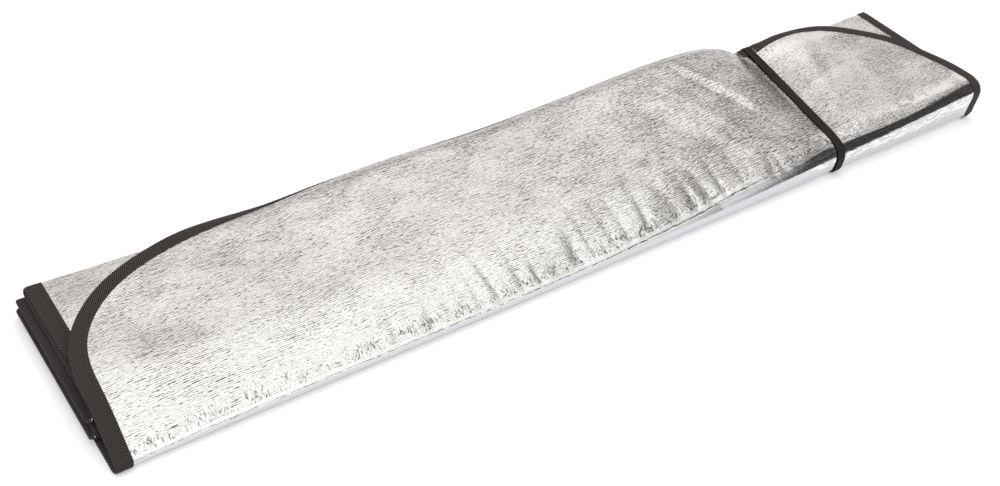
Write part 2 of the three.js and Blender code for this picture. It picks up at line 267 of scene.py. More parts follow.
def sheet_ends(u):
    """The two ends of the sheet's cut, along the folds, at a place across them."""
    def reach(corner, across):
        run, depth = corner
        t = np.clip(1 - across / depth, 0, 1)
        return HALF - run + run * (1 - t**CORNER_POWER) ** (1 / CORNER_POWER)
    loose = reach(LOOSE_CORNERS, SPREAD_LENGTH - u)
    return -np.minimum(reach(LEFT_CORNER, u), loose), np.minimum(reach(RIGHT_CORNER, u), loose)


# Small forms of the flap, pressed into it: streaks at random from the front fold, then single creases
STREAK_SEED = 7
STREAKS = (-235.0, 165)  # where they begin and end along the package
STREAK_REACH = (20, 70)  # how far they run from the fold
STREAK_WIDTH = (1.8, 5.0)
STREAK_DEPTH = (0.1, 0.62)
STREAK_LEAN = (-0.2, 0.15)
STREAK_STEP = (5, 22)
WAVES = 9
WAVE_LENGTH = (50, 150)
WAVE_WIDTH = (30, 80)
WAVE_HEIGHT = 0.22
# Two (u, v) ends, half width and rise: by the strap, then at the right and left ends
CREASES = (
    ((14, 112), (84, 158), 3.4, 1.0), ((22, 108), (88, 150), 3.0, -0.8), ((40, 60), (112, 104), 8.0, -1.0),
    ((30, 88), (100, 126), 5.0, 0.6), ((96, 128), (118, 172), 3.0, -0.7), ((10, 262), (70, 226), 4.5, 0.7),
    ((24, 268), (84, 232), 4.0, -0.6), ((88, 236), (112, 320), 5.0, 0.4), ((30, -296), (72, -316), 4.0, -0.7),
    ((22, -270), (58, -300), 3.0, 0.6), ((50, -280), (96, -322), 4.0, 0.5),
)


def dents(u, v):
    """How far the flap's surface lies out from its plain fold: streaks, creases and soft waves."""
    draw = np.random.RandomState(STREAK_SEED)
    from_fold = WIDTH - u
    on_flap = smooth(u / 12) * smooth((from_fold + 2) / 6)
    depth = np.zeros_like(u)
    place, end = STREAKS
    while place < end:
        reach, wide, deep, lean = (draw.uniform(*span) for span in (
            STREAK_REACH, STREAK_WIDTH, STREAK_DEPTH, STREAK_LEAN))
        across = (v - place - lean * from_fold) / wide
        depth -= deep * np.exp(-across**2) * smooth(1.15 - from_fold / reach)
        place += draw.uniform(*STREAK_STEP)
    for (u0, v0), (u1, v1), wide, rise in CREASES:
        run = np.clip(((u - u0) * (u1 - u0) + (v - v0) * (v1 - v0)) / ((u1 - u0) ** 2 + (v1 - v0) ** 2), 0, 1)
        away = np.hypot(u - mix(u0, u1, run), v - mix(v0, v1, run)) / wide
        depth += rise * np.exp(-away**2) * smooth(4 * run * (1 - run) + 0.2)
    for _ in range(WAVES):
        long, wide = draw.uniform(*WAVE_LENGTH), draw.uniform(*WAVE_WIDTH)
        shift = draw.uniform(0, 2 * math.pi, 2)
        depth += WAVE_HEIGHT * np.sin(v / long * math.pi + shift[0]) * np.sin(u / wide * math.pi + shift[1])
    return depth * on_flap


def linear(hex_colour):
    """An sRGB hex colour as linear RGB."""
    srgb = [int(hex_colour[i : i + 2], 16) / 255 for i in (1, 3, 5)]
    return tuple(c / 12.92 if c <= 0.04045 else ((c + 0.055) / 1.055) ** 2.4 for c in srgb)


def length(name, description, default_mm):
    return FloatProperty(name=name, description=description, default=default_mm * MM, min=0.0001,
                         precision=5, unit="LENGTH", subtype="DISTANCE")


def colour(name, description, default):
    return FloatVectorProperty(name=name, description=description, default=linear(default), size=3, min=0,
                               max=1, subtype="COLOR")


class SheetSettings(bpy.types.PropertyGroup):
    """Foil-faced foam sheet"""

    foil: colour("Foil", "The foil's own colour, on the ridges of its crinkles", "#f0eeec")
    # Painted shade: a darker copy of the foil's colour, given to the crinkles' hollows
    hollow_shade: colour("Foil hollows", "The foil in the hollows between its crinkles", "#5a5653")
    # Painted shade: a darker, greyer copy of the foil's colour, given to the smooth front wall of the fold
    drawn: colour("Drawn foil", "The foil where the fold draws it tight and smooth", "#cccbcf")
    crinkle_spacing: length("Crinkle spacing", "From one crinkle to the next, across the folds", 1.7)
    crinkle_length: length("Crinkle length", "Length of one crinkle, along the folds", 4.5)
    crinkle_height: length("Crinkle height", "Height of the embossed crinkles", 0.25)


class TapeSettings(bpy.types.PropertyGroup):
    """Woven tape over the sheet's edge"""

    cover: length("Cover", "How far the tape reaches in from the sheet's edge", 8.5)
    seam: length("Seam", "From the sheet's edge to the row of stitches", 5.9)
    twill: length("Twill spacing", "From one diagonal rib of the weave to the next", 1.0)
    tint: colour("Tape", "The woven tape", "#2a2524")
    thread: colour("Thread", "The stitching thread", "#3b3635")


class StrapSettings(bpy.types.PropertyGroup):
    """Elastic strap round the package"""

    width: length("Width", "Width of the elastic", 8.0)
    thickness: length("Thickness", "Thickness of the elastic", 1.1)
    tint: colour("Elastic", "The woven elastic", "#282321")


class StageSettings(bpy.types.PropertyGroup):
    """Floor and light"""

    floor: colour("Floor", "The plain pale floor", "#f4f4f4")


class SunshadeSettings(bpy.types.PropertyGroup):
    """All that a user would change on the sunshade"""

    sheet: PointerProperty(type=SheetSettings)
    tape: PointerProperty(type=TapeSettings)
    strap: PointerProperty(type=StrapSettings)
    stage: PointerProperty(type=StageSettings)


def add_mesh(name, points, faces, uvs=None):
    """A smooth-shaded mesh object at the origin; uvs has one (u, v) for each point, in metres."""
    mesh = bpy.data.meshes.new(name)
    mesh.from_pydata(points.tolist(), [], faces)
    mesh.polygons.foreach_set("use_smooth", [True] * len(mesh.polygons))
    if uvs is not None:
        layer = mesh.uv_layers.new(name="Surface")
        corners = np.empty(len(mesh.loops), int)
        mesh.loops.foreach_get("vertex_index", corners)
        layer.data.foreach_set("uv", np.asarray(uvs, float)[corners].ravel())
    mesh.update()
    obj = bpy.data.objects.new(name, mesh)
    bpy.context.scene.collection.objects.link(obj)
    return obj


def ring_faces(stations, sides):
    """Faces of a closed section swept round a closed loop of stations."""
    faces = []
    for i in range(stations):
        near, far = i * sides, (i + 1) % stations * sides
        for j in range(sides):
            k = (j + 1) % sides
            faces.append((near + j, far + j, far + k, near + k))
    return faces


ADD, SUBTRACT, MULTIPLY, MAXIMUM, MULTIPLY_ADD = (
    {"operation": name} for name in ("ADD", "SUBTRACT", "MULTIPLY", "MAXIMUM", "MULTIPLY_ADD"))
SMOOTH = {"interpolation_type": "SMOOTHSTEP"}
BAND = math.pi / 10  # width of one band of a wave texture at scale 1
WOVEN_BAND = 1 / 3.18  # the same, rounded, as the woven finishes were matched to the photo with it

# Woven finishes, in metres; the real yarn, ply and plait are finer, and are drawn as coarse as they need to
# be to show
YARN = 0.6 * MM
RIB_HEIGHT = 0.18 * MM
PLY = 0.4 * MM
PLY_HEIGHT = 0.1 * MM
PLAIT = 0.8 * MM
PLAIT_HEIGHT = 0.15 * MM


def node(tree, kind, settings=(), links=(), stops=()):
    """Adds a node with its settings. Its links are sockets, nodes (their first output) or plain values.

    The stops are a colour ramp's (position, colour) pairs.
    """
    made = tree.nodes.new("ShaderNode" + kind)
    for name, value in dict(settings).items():
        setattr(made, name, value)
    for name, value in dict(links).items():
        if isinstance(value, bpy.types.Node):
            value = value.outputs[0]
        if isinstance(value, bpy.types.NodeSocket):
            tree.links.new(value, made.inputs[name])
        else:
            made.inputs[name].default_value = value
    while stops and len(made.color_ramp.elements) < len(stops):
        made.color_ramp.elements.new(1.0)
    for i, (position, value) in enumerate(stops):
        made.color_ramp.elements[i].position = position
        made.color_ramp.elements[i].color = (*value, 1.0)
    return made


def new_material(name):
    """A material with an empty node tree."""
    material = bpy.data.materials.new(name)
    material.use_nodes = True
    material.node_tree.nodes.clear()
    return material, material.node_tree


def foil_material(settings):
    """Aluminium foil laminated on foam and embossed by rollers.

    The eye sees a bright metal, broken up by fine wavy crinkles that run along the panels, each with a
    light ridge and painted shade in its hollows, and stronger in some patches than in others, with more
    painted shade where it is crumpled and painted light near the front left and towards the right end.
    The front fold draws it smooth, with a painted highlight on a band before it, dark painted speckles
    along its line and a darker painted shade on the wall. Finer crinkles wouldn't show, so they are drawn
    as coarse as they need to be to show.
    """
    material, tree = new_material("embossed_aluminium_foil")
    uv = node(tree, "UVMap", {"uv_map": "Surface"}).outputs["UV"]
    place = node(tree, "VectorMath", {"operation": "SCALE"}, {"Vector": uv, "Scale": 1 / MM})
    place = node(tree, "SeparateXYZ", links={"Vector": place}).outputs
    lengthwise, across = place["X"], place["Y"]
    long, apart = settings.crinkle_length, settings.crinkle_spacing

    # Grains of the foil: length along and across the package in metres, distortion and detail
    grain = {
        "crinkle": (long / 2, apart / 2, 0.8, 1.5),
        "pleat": (apart * 0.62, long * 0.55, 1.0, 2.0),
        "puckers": (9 * MM, 8 * MM, 0.4, 1.5),
        "patches": (35 * MM, 20 * MM, 0.4, 1.5),
        "specks": (5 * MM, 1.6 * MM, 0.4, 1.5),
        "streaks": (long * 2.5, apart * 1.2, 0.4, 1.5),
    }
    for name, (size_along, size_across, distortion, detail) in grain.items():
        scaled = node(tree, "Mapping", links={"Vector": uv, "Scale": (1 / size_along, 1 / size_across, 1)})
        grain[name] = node(tree, "TexNoise", links={
            "Vector": scaled, "Scale": 1.0, "Detail": detail, "Roughness": 0.6, "Distortion": distortion})

    # Regions, each the product of (value, where it starts, where it is full); lengths are millimetres
    pushed = node(tree, "MapRange", SMOOTH, {"Value": lengthwise, "From Min": 30, "From Max": 100, "To Max": 3.5})
    rounding = node(tree, "Math", ADD, {0: across, 1: pushed})
    region = {
        "puckered": ((across, 112, 127), (rounding, 131.2, 129.6), (grain["puckers"], 0.38, 0.56)),
        "edge": ((across, 30, 14), (lengthwise, 200, 215)),
        "tight": ((lengthwise, -100, 170),),
        "patch": ((grain["patches"], 0.36, 0.62),),
        "wall": ((rounding, 132.5, 134.5), (across, 153, 150)),
        # Painted light: lighter, with less contrast, where the foil lies smooth near the front left
        "calm_light": ((across, 70, 115), (lengthwise, 30, -120)),
        # Painted light: lighter towards the right end of the package
        "end": ((lengthwise, 200, 240),),
        # Painted highlight: a bright band just before the front fold
        "brim_highlight": ((rounding, 128.4, 130.2), (rounding, 132.6, 131.6), (lengthwise, 120, 80)),
        # Painted shade: dark speckles along the line where the front fold turns
        "crease_shade": ((rounding, 131.6, 132.4), (rounding, 134.4, 133.4), (lengthwise, 115, 70),
                   (grain["specks"], 0.42, 0.56)),
        # Painted shade: dark crinkle streaks on the front wall towards the right end
        "streak_shade": ((lengthwise, 140, 220), (across, 143, 137), (grain["streaks"], 0.5, 0.56)),
    }
    for name, limits in region.items():
        region[name] = 1.0
        for value, none, full in limits:
            share = node(tree, "MapRange", SMOOTH, {"Value": value, "From Min": none, "From Max": full})
            region[name] = node(tree, "Math", MULTIPLY, {0: region[name], 1: share})

    # Height: wavy crinkles, and pleats across them where the foil puckers
    scaled = node(tree, "Mapping", links={"Vector": uv, "Scale": (1 / long, 1 / (apart * 0.62), 1)})
    ripple = node(tree, "TexWave", {"wave_type": "BANDS", "bands_direction": "Y"}, {
        "Vector": scaled, "Scale": BAND, "Distortion": 6.0, "Detail": 2.0, "Detail Scale": 2.2,
        "Detail Roughness": 0.6}).outputs["Fac"]
    crinkle = node(tree, "Mix", {"data_type": "FLOAT"}, {"Factor": 0.5, 2: ripple, 3: grain["crinkle"]})
    pleated = node(tree, "Math", MAXIMUM, {0: region["puckered"], 1: region["edge"]})
    height = node(tree, "Mix", {"data_type": "FLOAT"}, {"Factor": pleated, 2: crinkle, 3: grain["pleat"]})

    # Strength: more in patches and towards the strap, little on the smooth wall
    crumpled = node(tree, "Math", MULTIPLY, {0: region["patch"], 1: 0.5})
    crumpled = node(tree, "Math", MULTIPLY_ADD, {0: region["tight"], 1: 0.4, 2: crumpled})
    crumpled = node(tree, "Math", MAXIMUM, {0: crumpled, 1: pleated})
    strength = node(tree, "Math", MULTIPLY_ADD, {0: crumpled, 1: 0.55, 2: 0.45})
    strength = node(tree, "Math", MULTIPLY_ADD, {0: region["tight"], 1: 0.2, 2: strength})
    kept = node(tree, "Math", MULTIPLY_ADD, {0: region["wall"], 1: -0.86, 2: 1.0})
    strength = node(tree, "Math", MULTIPLY, {0: strength, 1: kept})
    bump = node(tree, "Bump", links={"Strength": strength, "Distance": settings.crinkle_height, "Height": height})

    # Tint, by height: painted shade in the crinkles' hollows, more painted shade where the foil is crumpled or
    # pleated and in dark speckles along the front fold, painted light where it lies smooth near the front left
    # and towards the right end, a painted highlight on a band before the fold, and a darker painted shade on the
    # smooth wall
    shade = height
    # Weights below nought add painted shade, weights above it add painted light
    for where, weight in ((crumpled, -0.12), (pleated, -0.048), (region["calm_light"], 0.03), (region["end"], 0.1),
                          (region["brim_highlight"], 0.2), (region["crease_shade"], -0.3)):
        shade = node(tree, "Math", MULTIPLY_ADD, {0: where, 1: weight, 2: shade})
    marked = node(tree, "Math", MAXIMUM, {0: region["streak_shade"], 1: region["crease_shade"]})
    unmarked = node(tree, "Math", SUBTRACT, {0: 1.0, 1: marked})
    # Painted shade: the smooth wall takes the darker copy of the foil's colour, except where dark streaks or
    # speckles are painted
    wall_shade_mask = node(tree, "Math", MULTIPLY, {0: region["wall"], 1: unmarked})
    shade = node(tree, "Math", MAXIMUM, {0: shade, 1: wall_shade_mask})
    # Stops: painted shade in the crinkles' hollows, the foil's own colour, then a darker painted shade for the
    # smooth wall
    tint = node(tree, "ValToRGB", links={"Fac": shade}, stops=[
        (0.22, settings.hollow_shade), (0.37, settings.foil), (0.85, settings.foil), (1.0, settings.drawn)])
    roughness = node(tree, "Math", MULTIPLY_ADD, {0: region["wall"], 1: -0.1, 2: 0.17})
    shader = node(tree, "BsdfPrincipled", links={
        "Base Color": tint, "Normal": bump, "Roughness": roughness, "Metallic": 1.0})
    node(tree, "OutputMaterial", links={"Surface": shader})
    return material


def tape_material(settings):
    """Polyester binding tape, woven in twill.

    The eye sees a dull near-black band with fine diagonal ribs; a painted highlight lightens their tops and
    painted shade darkens the grooves between them. Finer ribs wouldn't show, so they are drawn as coarse
    as they need to be to show.
    """
    material, tree = new_material("woven_polyester_twill")
    uv = node(tree, "UVMap", {"uv_map": "Surface"})
    slant = node(tree, "Mapping", links={"Vector": uv, "Rotation": (0, 0, math.radians(52))})
    rib = node(tree, "TexWave", {"wave_type": "BANDS", "bands_direction": "X"}, {
        "Vector": slant, "Scale": WOVEN_BAND / settings.twill, "Distortion": 0.6, "Detail": 1.0,
        "Detail Scale": 1.5}).outputs["Fac"]
    yarn = node(tree, "TexNoise", links={"Vector": uv, "Scale": 1 / YARN, "Detail": 2.0})
    height = node(tree, "Math", MULTIPLY_ADD, {0: yarn, 1: 0.5, 2: rib})
    bump = node(tree, "Bump", links={"Strength": 0.9, "Distance": RIB_HEIGHT, "Height": height})
    # Painted shade in the grooves and a painted highlight on the ribs' tops, as darker and lighter copies of the
    # tape's colour; the yarn's noise also varies them at random
    dark, light = (tuple(c * share for c in settings.tint) for share in (0.3, 3.2))
    tint = node(tree, "ValToRGB", links={"Fac": height}, stops=[(0.25, dark), (0.7, settings.tint), (1.0, light)])
    shader = node(tree, "BsdfPrincipled", links={
        "Base Color": tint, "Normal": bump, "Roughness": 0.85, "Specular IOR Level": 0.2, "Sheen Weight": 0.05})
    node(tree, "OutputMaterial", links={"Surface": shader})
    return material


def thread_material(settings):
    """Spun polyester sewing thread: dull, a shade lighter than the tape, with the twist of its plies."""
    material, tree = new_material("spun_polyester_thread")
    place = node(tree, "TexCoord").outputs["Object"]
    ply = node(tree, "TexNoise", links={"Vector": place, "Scale": 1 / PLY, "Detail": 1.0})
    bump = node(tree, "Bump", links={"Strength": 0.6, "Distance": PLY_HEIGHT, "Height": ply})
    tint = node(tree, "ValToRGB", links={"Fac": ply}, stops=[
        (0.3, tuple(c * 0.6 for c in settings.thread)), (0.7, settings.thread)])
    shader = node(tree, "BsdfPrincipled", links={"Base Color": tint, "Normal": bump, "Roughness": 0.75})
    node(tree, "OutputMaterial", links={"Surface": shader})
    return material


def elastic_material(settings):
    """Braided polyester elastic.

    The eye sees lengthwise ribs a little over a millimetre wide, crossed by fine plaits.
    """
    material, tree = new_material("braided_polyester_elastic")
    uv = node(tree, "UVMap", {"uv_map": "Surface"})
    plait = node(tree, "TexWave", {"wave_type": "BANDS", "bands_direction": "X"}, {
        "Vector": uv, "Scale": WOVEN_BAND / PLAIT, "Distortion": 1.2, "Detail": 1.0}).outputs["Fac"]
    bump = node(tree, "Bump", links={"Strength": 0.8, "Distance": PLAIT_HEIGHT, "Height": plait})
    tint = node(tree, "ValToRGB", links={"Fac": plait}, stops=[
        (0.1, tuple(c * 0.6 for c in settings.tint)), (0.8, settings.tint)])
    shader = node(tree, "BsdfPrincipled", links={
        "Base Color": tint, "Normal": bump, "Roughness": 0.7, "Specular IOR Level": 0.2})
    node(tree, "OutputMaterial", links={"Surface": shader})
    return material


ALONG_STEPS = 401  # divisions of the sheet along the package
AREA_STEPS = 2001
SQUEEZED_HALF = 0.86  # half the foam's thickness where the seam squeezes it


class SUNSHADE_OT_foil_sheet(bpy.types.Operator):
    """Make the foil-faced foam sheet, folded"""

    bl_idname = "sunshade.foil_sheet"
    bl_label = "Foil sheet"

    def execute(self, context):
        settings = context.scene.sunshade
        columns = self.columns()
        share = np.linspace(-1, 1, ALONG_STEPS)
        left, right = sheet_ends(columns)
        u = np.repeat(columns[:, None], len(share), axis=1)
        v = np.where(share < 0, -share * left[:, None], share * right[:, None])
        under_tape = settings.tape.cover / MM
        inward = np.minimum(np.minimum(u, SPREAD_LENGTH - u), np.minimum(v - left[:, None], right[:, None] - v))
        half = mix(SQUEEZED_HALF, FOAM / 2, smooth((inward - under_tape + 2) / 5))
        shape = dents(u, v)
        upper = folded(u, v, shape + half, settings).reshape(-1, 3)
        lower = folded(u, v, shape - half, settings).reshape(-1, 3)
        across, longways = u.shape
        at = lambda i, j: i * longways + j
        second = across * longways
        faces = []
        for i in range(across - 1):
            for j in range(longways - 1):
                a, b, c, d = at(i, j), at(i, j + 1), at(i + 1, j + 1), at(i + 1, j)
                faces.append((a, d, c, b))
                faces.append((a + second, b + second, c + second, d + second))
        rim = ([at(i, 0) for i in range(across)] + [at(across - 1, j) for j in range(1, longways)]
               + [at(i, longways - 1) for i in range(across - 2, -1, -1)]
               + [at(0, j) for j in range(longways - 2, 0, -1)])
        for a, b in zip(rim, rim[1:] + rim[:1]):
            faces.append((b, a, a + second, b + second))
        surface = np.stack([v, u], axis=-1).reshape(-1, 2) * MM
        sheet = add_mesh("folded_foil_sheet", np.concatenate([upper, lower]), faces, np.tile(surface, (2, 1)))
        sheet.data.materials.append(foil_material(settings.sheet))
        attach(sheet, "root")
        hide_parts("foil_sheet")
        cut = np.linspace(0, SPREAD_LENGTH, AREA_STEPS)
        near, far = sheet_ends(cut)
        return {"FINISHED"}

    def columns(self):
        """Where the sheet is divided across the folds: finely on the flap, coarsely inside the package."""
        flap = [RIGHT_CORNER[1] * (i / 16) ** CORNER_POWER for i in range(16)]
        flap = [u for u in flap if u < 24] + list(np.arange(24, WIDTH - 1, 2.6))
        columns = flap + list(WIDTH + FRONT_RUN * np.linspace(0, 1, 13)[:-1])
        for part in range(2, len(RUNS) - 1):
            steps = 7 if part % 2 else 3
            columns += list(STARTS[part] + RUNS[part] * np.arange(steps) / steps)
        columns.append(STARTS[-1])
        loose = [LOOSE_CORNERS[1] * (i / 8) ** CORNER_POWER for i in range(9)]
        return np.array(columns + [SPREAD_LENGTH - u for u in reversed(loose)])


def cut_line(spacing):
    """The sheet's cut outline at even steps, as u, v and the unit normal that points into the sheet."""
    ease = np.linspace(0, 1, 400) ** CORNER_POWER
    near, far = RIGHT_CORNER[1] * ease, SPREAD_LENGTH - LOOSE_CORNERS[1] * ease[::-1]
    side = np.concatenate([near, np.linspace(near[-1], far[0], 200)[1:-1], far])
    left, right = sheet_ends(side)
    u = np.concatenate([side, side[::-1]])
    v = np.concatenate([right, left[::-1]])
    u, v = np.append(u, u[0]), np.append(v, v[0])
    run = np.concatenate([[0], np.cumsum(np.hypot(np.diff(u), np.diff(v)))])
    count = int(round(run[-1] / spacing))
    at = np.arange(count) * run[-1] / count
    u, v = np.interp(at, run, u), np.interp(at, run, v)
    along_u, along_v = np.roll(u, -1) - np.roll(u, 1), np.roll(v, -1) - np.roll(v, 1)
    size = np.hypot(along_u, along_v)
    return u, v, along_v / size, -along_u / size, at


TAPE_STEP = 2.3
STITCH_STEP = 1.2
STITCH_STEPS = 3  # steps from one stitch to the next


class SUNSHADE_OT_edge_tape(bpy.types.Operator):
    """Make the woven tape that is folded over the sheet's edge and sewn down"""

    bl_idname = "sunshade.edge_tape"
    bl_label = "Edge tape"

    def execute(self, context):
        settings = context.scene.sunshade
        cover, seam = settings.tape.cover / MM, settings.tape.seam / MM
        # The tape's section as (in from the cut, out from the sheet's middle), with a groove at the seam
        face = [(cover - 0.05, 1.12), (cover - 0.2, 1.3), (cover - 0.6, 1.36), (seam + 0.85, 1.36),
                (seam + 0.45, 1.3), (seam, 1.08), (seam - 0.45, 1.3), (seam - 0.85, 1.38), (2.6, 1.42),
                (1.2, 1.42), (0.3, 1.34), (-0.3, 1.05), (-0.62, 0.6), (-0.72, 0)]
        outside = face + [(a, -b) for a, b in reversed(face[:-1])]
        inside = [(cover - 0.05, -0.9), (1.0, -0.9), (-0.2, -0.5), (-0.2, 0.5), (1.0, 0.9), (cover - 0.05, 0.9)]
        section = np.array(outside + inside)
        u, v, in_u, in_v, run = cut_line(TAPE_STEP)
        place_u = u[:, None] + in_u[:, None] * section[:, 0]
        place_v = v[:, None] + in_v[:, None] * section[:, 0]
        points = folded(place_u, place_v, section[:, 1] + dents(place_u, place_v), settings)
        girth = np.concatenate([[0], np.cumsum(np.hypot(*np.diff(section, axis=0).T))])
        surface = np.stack(np.broadcast_arrays(run[:, None], girth[None, :]), axis=-1).reshape(-1, 2) * MM
        faces = ring_faces(len(u), len(section))
        tape = add_mesh("woven_edge_tape", points.reshape(-1, 3), faces, surface)
        tape.data.materials.append(tape_material(settings.tape))
        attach(tape, "root")
        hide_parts("edge_tape")
        return {"FINISHED"}


class SUNSHADE_OT_stitching(bpy.types.Operator):
    """Sew the tape down with a row of stitches on each face"""

    bl_idname = "sunshade.stitching"
    bl_label = "Stitching"

    # Rings of one stitch: steps along the seam, size, rise, and how far it leans towards the next step
    RINGS = ((0, 0.25, 0.0, -0.25), (0, 1.0, 0.16, 0.1), (2, 1.0, 0.16, -0.1), (2, 0.25, 0.0, 0.25))
    SIDES = 5
    HALF_WIDTH = 0.28
    HALF_HEIGHT = 0.2
    GROOVE = 1.12  # floor of the seam's groove, out from the sheet's middle

    def execute(self, context):
        settings = context.scene.sunshade
        seam = settings.tape.seam / MM
        u, v, in_u, in_v, _ = cut_line(STITCH_STEP)
        angles = np.arange(self.SIDES) * 2 * math.pi / self.SIDES
        ring = [(math.cos(a) * self.HALF_WIDTH, math.sin(a) * self.HALF_HEIGHT) for a in angles]
        points, faces = [], []
        for start in range(0, len(u) - STITCH_STEPS, STITCH_STEPS):
            for side in (1, -1):
                base = len(points)
                for steps, size, rise, lean in self.RINGS:
                    i = start + steps
                    j = min(i + 1, len(u) - 1)
                    at_u, at_v = mix(u[i], u[j], lean), mix(v[i], v[j], lean)
                    for across, up in ring:
                        inward = seam + across * size
                        points.append((at_u + in_u[i] * inward, at_v + in_v[i] * inward,
                                       side * (self.GROOVE + rise + up * size)))
                rings = [tuple(range(base + i * self.SIDES, base + (i + 1) * self.SIDES))
                         for i in range(len(self.RINGS))]
                shell = [rings[0][::-1], rings[-1]]
                for near, far in zip(rings, rings[1:]):
                    shell += [(near[a], near[(a + 1) % self.SIDES], far[(a + 1) % self.SIDES], far[a])
                              for a in range(self.SIDES)]
                faces += shell if side > 0 else [face[::-1] for face in shell]
        place = np.array(points)
        points = folded(place[:, 0], place[:, 1], place[:, 2] + dents(place[:, 0], place[:, 1]), settings)
        stitches = add_mesh("tape_stitching", points, faces)
        stitches.data.materials.append(thread_material(settings.tape))
        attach(stitches, "root")
        return {"FINISHED"}


class SUNSHADE_OT_elastic_strap(bpy.types.Operator):
    """Make the elastic strap that goes round the package"""

    bl_idname = "sunshade.elastic_strap"
    bl_label = "Elastic strap"

    RIBS = 3  # pairs of ribs on the band
    RIB_RISE = 0.1
    CLEARANCE = 0.9  # from the outermost fold at the back to the band's middle
    # Bends of the loop at the back, as (out from its plane, up from the run they join, turn as a share)
    LOWER_BEND = ((-3.0, 0, -1), (-1.2, 0.3, -0.7), (-0.3, 1.2, -0.3), (0, 2.6, 0))
    UPPER_BEND = ((-0.1, -1.6, 0.15), (-0.5, -0.6, 0.5))

    def execute(self, context):
        settings = context.scene.sunshade
        width, thick = settings.strap.width / MM, settings.strap.thickness / MM
        across = np.linspace(-1, 1, 25)
        ribs = self.RIB_RISE * np.cos(across * math.pi * 2 * self.RIBS)
        edge = np.sqrt(np.clip(1 - np.abs(across) ** 8, 0, 1))
        top = [(w * width / 2, 0.5 * thick + (0.5 * thick - self.RIB_RISE + r) * e)
               for w, r, e in zip(across, ribs, edge)]
        foot = [(w * width / 2, 0.5 * thick * (1 - e)) for w, e in zip(across[-2:0:-4], edge[-2:0:-4])]
        section = np.array(top + foot)
        # Over the flap, down the front wall and back under the package
        lay = np.concatenate([np.arange(0.3, WIDTH, 3.0), np.linspace(WIDTH, WIDTH + FRONT_RUN, 19)[:-1],
                              np.arange(WIDTH + FRONT_RUN, STARTS[3] - 4, 5.0)])
        cover = settings.tape.cover / MM
        lift = mix(BOUND_HALF + 0.1, FOAM / 2 + 0.12, smooth((lay - cover - 0.5) / 5))
        _, guess, _ = np.moveaxis(folded(lay, np.full(len(lay), STRAP_FRONT), 0, settings), -1, 0) / MM
        x = strap_place(guess - PLACE[1]) - np.where(lay > STARTS[2], SHIFT[1], 0)
        over = folded(lay[:, None], x[:, None] + section[:, 0], lift[:, None] + section[:, 1], settings)
        # Up the back, to close the loop
        below, above = over[-1], over[0]
        fall = np.max(above[:, 1]) / MM + self.CLEARANCE
        low, high = float(np.mean(below[-1, 2])) / MM, float(np.mean(above[-1, 2])) / MM
        path = [(fall + out, low + up, turn) for out, up, turn in self.LOWER_BEND]
        path += [(fall, z, 0) for z in np.linspace(low + 5, high - 3.5, 5)]
        path += [(fall + out, high + up, turn) for out, up, turn in self.UPPER_BEND]
        stations = [over]
        for y, z, turn in path:
            angle = turn * TURN
            stations.append(np.stack([
                STRAP_BACK + PLACE[0] + section[:, 0],
                y + section[:, 1] * math.cos(angle), z + section[:, 1] * math.sin(angle)], axis=-1)[None] * MM)
        points = np.concatenate(stations)
        middle = points[:, len(across) // 2]
        run = np.concatenate([[0], np.cumsum(np.linalg.norm(np.diff(middle, axis=0), axis=1))])
        girth = np.concatenate([[0], np.cumsum(np.hypot(*np.diff(section, axis=0).T))]) * MM
        surface = np.stack(np.broadcast_arrays(run[:, None], girth[None, :]), axis=-1).reshape(-1, 2)
        faces = [face[::-1] for face in ring_faces(len(points), len(section))]
        strap = add_mesh("elastic_strap_loop", points.reshape(-1, 3), faces, surface)
        strap.data.materials.append(elastic_material(settings.strap))
        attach(strap, "root")
        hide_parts("elastic_strap")
        return {"FINISHED"}


# Camera, in metres and degrees, from the fit to the photograph's outline
CAMERA_PLACE = (-0.45898, -0.41906, 0.46122)
CAMERA_TURN = (49.822, -7.664, -36.543)
CAMERA_LENS = 41.4

FLOOR_SIZE = 80  # metres, so that no view sees past it
FLOOR_GLOW = 0.2
LAMP_PLACE = (0.25, 0.9, 1.7)
LAMP_SIZE = 1.6
LAMP_POWER = 9
TENT_STRENGTH = 1.18
# The tent's colours by height, from the horizon to the top
TENT = ((0.0, (0.04, 0.04, 0.04)), (0.18, (0.12, 0.11, 0.1)), (0.38, (0.82, 0.79, 0.765)),
        (0.56, (0.72, 0.705, 0.695)), (0.7, (0.88, 0.875, 0.87)), (0.86, (1.0, 1.0, 1.0)))
# Its walls: a grey one behind on the right, a dark one in front on the right, and a white one in front on the
# left and along the floor. After the colour come limits as (axis, where it starts, where it is full); a list
# of two means either of them.
WALLS = (
    ((0.7, 0.69, 0.68), [("X", 0.64, 0.76)], [("Y", 0.2, 0.4)], [("Z", 0.4, 0.3)]),
    ((0.06, 0.057, 0.056), [("X", 0.645, 0.664)], [("Y", 0.12, -0.08)]),
    ((1.0, 1.0, 1.0), [("X", 0.664, 0.645), ("Z", 0.12, 0.02)], [("Y", -0.42, -0.56)]),
)


